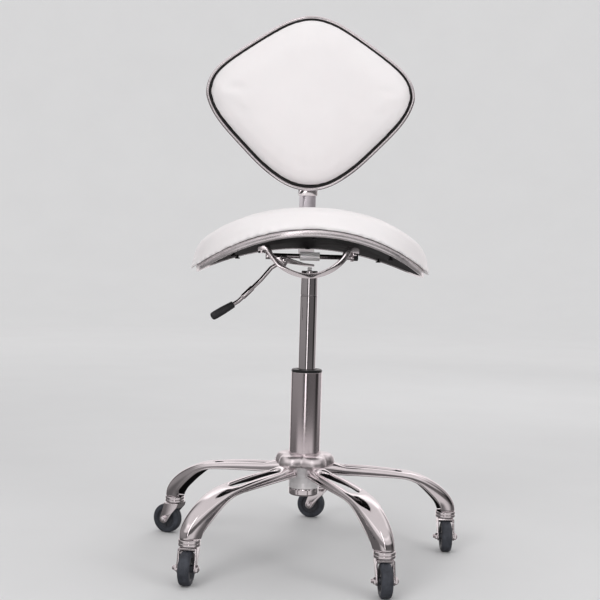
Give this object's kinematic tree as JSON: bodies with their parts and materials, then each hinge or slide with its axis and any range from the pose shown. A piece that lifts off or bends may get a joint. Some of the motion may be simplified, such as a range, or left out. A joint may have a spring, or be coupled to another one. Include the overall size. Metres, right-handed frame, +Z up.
{
  "type": "rolling stylist stool",
  "caption": "Rolling salon stool with a saddle seat, lever-released gas lift, reclining backrest on a flat bar and swivel casters under a pressed star base.",
  "frame": {"origin": "on the floor, on the axis of the gas column", "axes": "+Z up; the seat faces -Y; +X to the right as seen from the front"},
  "size_m": [0.5127, 0.5206, 0.9095],
  "materials": {
    "chrome": "polished chrome plate",
    "black_plastic": "fine moulded texture",
    "steel": "zinc plated",
    "black_board": "satin black",
    "plywood": "sealed plywood",
    "vinyl": "smooth white vinyl",
    "tyre": "dark slate rubber",
    "wheel_plastic": "dark slate plastic"
  },
  "bodies": {
    "base": {"leg_rear": "chrome", "leg_left_rear": "chrome", "leg_left_front": "chrome", "leg_right_front": "chrome", "leg_right": "chrome", "hub_crown": "chrome", "hub_sleeve": "chrome", "hub_lock_ring": "chrome", "column_outer_tube": "chrome", "column_base_plate": "steel", "thrust_bearing": "steel", "column_guide_bush": "black_plastic", "caster_collars": "chrome", "caster_stem_sockets": "steel"},
    "piston_rod": {"piston_rod": "steel", "piston": "steel", "retaining_clip": "steel"},
    "seat": {"gas_cylinder": "chrome", "cylinder_gland": "steel", "seat_bracket": "chrome", "bracket_bolts": "chrome", "lever_pivot_pin": "chrome", "cross_bolt": "chrome", "seat_pan": "black_board", "seat_board": "plywood", "seat_trim_band": "chrome", "seat_pad": "vinyl", "seat_pan_screws": "steel"},
    "release_button": {"release_button": "steel"},
    "release_lever": {"release_lever": "chrome", "lever_grip": "black_plastic"},
    "backrest": {"backrest_bar": "chrome", "backrest_bracket": "chrome", "backrest_trim": "chrome", "backrest_board": "black_board", "backrest_pad": "vinyl", "backrest_screws": "steel"},
    "clamp_knob": {"clamp_knob": "black_plastic"},
    "caster_rear": {"caster_fork_rear": "chrome", "caster_axle_rear": "chrome"},
    "wheel_rear": {"caster_wheel_rear": "wheel_plastic", "caster_tyre_rear": "tyre"},
    "caster_left_rear": {"caster_fork_left_rear": "chrome", "caster_axle_left_rear": "chrome"},
    "wheel_left_rear": {"caster_wheel_left_rear": "wheel_plastic", "caster_tyre_left_rear": "tyre"},
    "caster_left_front": {"caster_fork_left_front": "chrome", "caster_axle_left_front": "chrome"},
    "wheel_left_front": {"caster_wheel_left_front": "wheel_plastic", "caster_tyre_left_front": "tyre"},
    "caster_right_front": {"caster_fork_right_front": "chrome", "caster_axle_right_front": "chrome"},
    "wheel_right_front": {"caster_wheel_right_front": "wheel_plastic", "caster_tyre_right_front": "tyre"},
    "caster_right": {"caster_fork_right": "chrome", "caster_axle_right": "chrome"},
    "wheel_right": {"caster_wheel_right": "wheel_plastic", "caster_tyre_right": "tyre"}
  },
  "joints": [
    {"name": "seat_swivel", "type": "hinge", "parent": "base", "child": "piston_rod", "pos_m": [0, 0, 0.11], "axis": [0, 0, 1], "continuous": true},
    {"name": "seat_lift", "type": "slide", "parent": "piston_rod", "child": "seat", "axis": [0, 0, 1], "range_m": [-0.11, 0.02]},
    {"name": "button_press", "type": "slide", "parent": "seat", "child": "release_button", "axis": [0, 0, -1], "range_m": [0, 0.0048], "stiffness_N_per_m": 400},
    {"name": "lever_pull", "type": "hinge", "parent": "seat", "child": "release_lever", "pos_m": [-0.042, 0, 0.476], "axis": [0, 1, 0], "range_deg": [0, 6.5], "stiffness_Nm_per_rad": 6, "springref_deg": -2.86},
    {"name": "backrest_recline", "type": "hinge", "parent": "seat", "child": "backrest", "pos_m": [0, 0.016, 0.483], "axis": [-1, 0, 0], "range_deg": [0, 12]},
    {"name": "knob_turn", "type": "hinge", "parent": "seat", "child": "clamp_knob", "pos_m": [0.07, 0.016, 0.483], "axis": [1, 0, 0], "range_deg": [-180, 180]},
    {"name": "swivel_rear", "type": "hinge", "parent": "base", "child": "caster_rear", "pos_m": [0.03718, 0.24014, 0.06], "axis": [0, 0, 1], "continuous": true},
    {"name": "roll_rear", "type": "hinge", "parent": "caster_rear", "child": "wheel_rear", "pos_m": [0.02386, 0.24447, 0.025], "axis": [-0.309, -0.9511, 0], "continuous": true},
    {"name": "swivel_left_rear", "type": "hinge", "parent": "base", "child": "caster_left_rear", "pos_m": [-0.2169, 0.10956, 0.06], "axis": [0, 0, 1], "continuous": true},
    {"name": "roll_left_rear", "type": "hinge", "parent": "caster_left_rear", "child": "wheel_left_rear", "pos_m": [-0.22937, 0.11592, 0.025], "axis": [-0.454, -0.891, 0], "continuous": true},
    {"name": "swivel_left_front", "type": "hinge", "parent": "base", "child": "caster_left_front", "pos_m": [-0.17123, -0.17243, 0.06], "axis": [0, 0, 1], "continuous": true},
    {"name": "roll_left_front", "type": "hinge", "parent": "caster_left_front", "child": "wheel_left_front", "pos_m": [-0.17366, -0.18621, 0.025], "axis": [0.9848, -0.1736, 0], "continuous": true},
    {"name": "swivel_right_front", "type": "hinge", "parent": "base", "child": "caster_right_front", "pos_m": [0.11107, -0.21613, 0.06], "axis": [0, 0, 1], "continuous": true},
    {"name": "roll_right_front", "type": "hinge", "parent": "caster_right_front", "child": "wheel_right_front", "pos_m": [0.11181, -0.23011, 0.025], "axis": [0.9986, 0.0523, 0], "continuous": true},
    {"name": "swivel_right", "type": "hinge", "parent": "base", "child": "caster_right", "pos_m": [0.23987, 0.03885, 0.06], "axis": [0, 0, 1], "continuous": true},
    {"name": "roll_right", "type": "hinge", "parent": "caster_right", "child": "wheel_right", "pos_m": [0.23939, 0.02486, 0.025], "axis": [0.9994, -0.0349, 0], "continuous": true}
  ],
  "couplings": [
    {"joint": "button_press", "follows": "lever_pull", "m_per_rad": 0.042}
  ]
}
